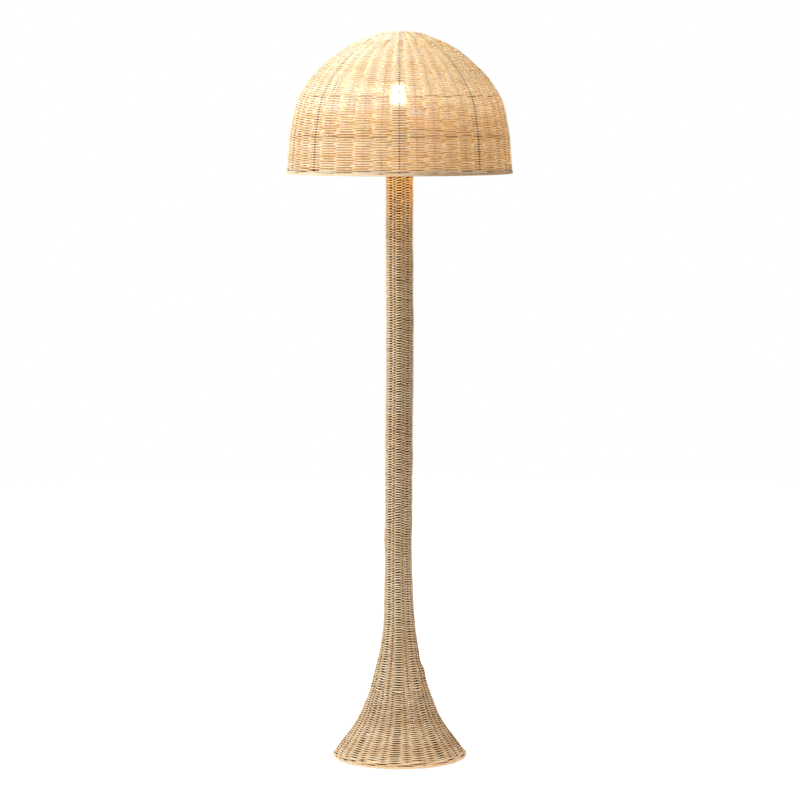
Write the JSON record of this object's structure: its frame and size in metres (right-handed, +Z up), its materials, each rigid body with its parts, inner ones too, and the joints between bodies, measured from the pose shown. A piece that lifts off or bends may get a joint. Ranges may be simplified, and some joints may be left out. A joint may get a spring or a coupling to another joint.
{
  "type": "woven floor lamp",
  "caption": "Free-standing floor lamp with a domed woven shade on a slim woven column that flares into a weighted round foot.",
  "frame": {"origin": "on the floor under the column's axis, at the underside of the foot pads", "axes": "+Z up along the column, front of the lamp towards -Y, +X to the viewer's right"},
  "size_m": [0.464, 0.464, 1.5],
  "materials": {
    "rattan": "natural peeled rattan core, lightly lacquered",
    "frame_wire": "dark brown-black lacquered steel wire",
    "weight": "black powder coat on steel",
    "zinc": "zinc plated steel",
    "felt": "dark felt-faced rubber pad",
    "black_plastic": "black thermoplastic, fine satin",
    "porcelain": "white glazed porcelain",
    "brass": "plain pressed brass",
    "nickel": "nickel plated pressed shell",
    "opal_glass": "opal white glass, lit",
    "flex": "black sheathed two-core flex"
  },
  "bodies": {
    "stand": {"woven_column": "rattan", "woven_foot": "rattan", "foot_hem": "rattan", "column_wire_1": "frame_wire", "column_wire_2": "frame_wire", "column_wire_3": "frame_wire", "column_wire_4": "frame_wire", "column_wire_5": "frame_wire", "column_wire_6": "frame_wire", "column_wire_7": "frame_wire", "column_wire_8": "frame_wire", "flare_ring": "frame_wire", "column_ring_1": "frame_wire", "column_ring_2": "frame_wire", "column_ring_3": "frame_wire", "column_top_ring": "frame_wire", "base_ring": "frame_wire", "column_top_disc": "frame_wire", "weight_plate": "weight", "foot_pad_1": "felt", "foot_pad_2": "felt", "foot_pad_3": "felt", "foot_pad_4": "felt", "pole_socket": "zinc", "socket_bolt": "zinc", "grub_screw": "zinc", "pole": "zinc", "nipple": "zinc", "locknut": "zinc", "tab_screw_1": "zinc", "tab_screw_2": "zinc", "tab_screw_3": "zinc", "cord_bush": "black_plastic", "holder_cap": "black_plastic", "holder_sleeve": "black_plastic", "holder_insert": "porcelain", "holder_shell": "brass", "holder_contact": "brass", "inner_flex": "flex"},
    "shade": {"woven_shade": "rattan", "shade_rim": "rattan", "shade_rib_1": "frame_wire", "shade_rib_2": "frame_wire", "shade_rib_3": "frame_wire", "shade_rib_4": "frame_wire", "shade_rib_5": "frame_wire", "shade_rib_6": "frame_wire", "shade_rib_7": "frame_wire", "shade_rib_8": "frame_wire", "crown_ring": "frame_wire", "upper_ring": "frame_wire", "shoulder_ring": "frame_wire", "middle_ring": "frame_wire", "rim_ring": "frame_wire", "shade_spider": "frame_wire"},
    "shade_nut": {"ring_nut": "black_plastic"},
    "bulb_tip": {"bulb_contact": "nickel"},
    "bulb": {"bulb_insulator": "black_plastic", "bulb_cap": "nickel", "bulb_glass": "opal_glass"}
  },
  "joints": [
    {"name": "shade_turn", "type": "hinge", "parent": "stand", "child": "shade", "pos_m": [0, 0, 1.2988], "axis": [0, 0, 1], "continuous": true},
    {"name": "nut_turn", "type": "hinge", "parent": "stand", "child": "shade_nut", "pos_m": [0, 0, 1.3048], "axis": [0, 0, 1], "range_deg": [0, 720]},
    {"name": "bulb_rise", "type": "slide", "parent": "stand", "child": "bulb_tip", "axis": [0, 0, 1], "range_m": [0, 0.0199]},
    {"name": "bulb_turn", "type": "hinge", "parent": "bulb_tip", "child": "bulb", "pos_m": [0, 0, 1.3448], "axis": [0, 0, 1], "range_deg": [0, 1980]}
  ],
  "couplings": [
    {"joint": "bulb_turn", "follows": "bulb_rise", "rad_per_m": 1735.7}
  ]
}
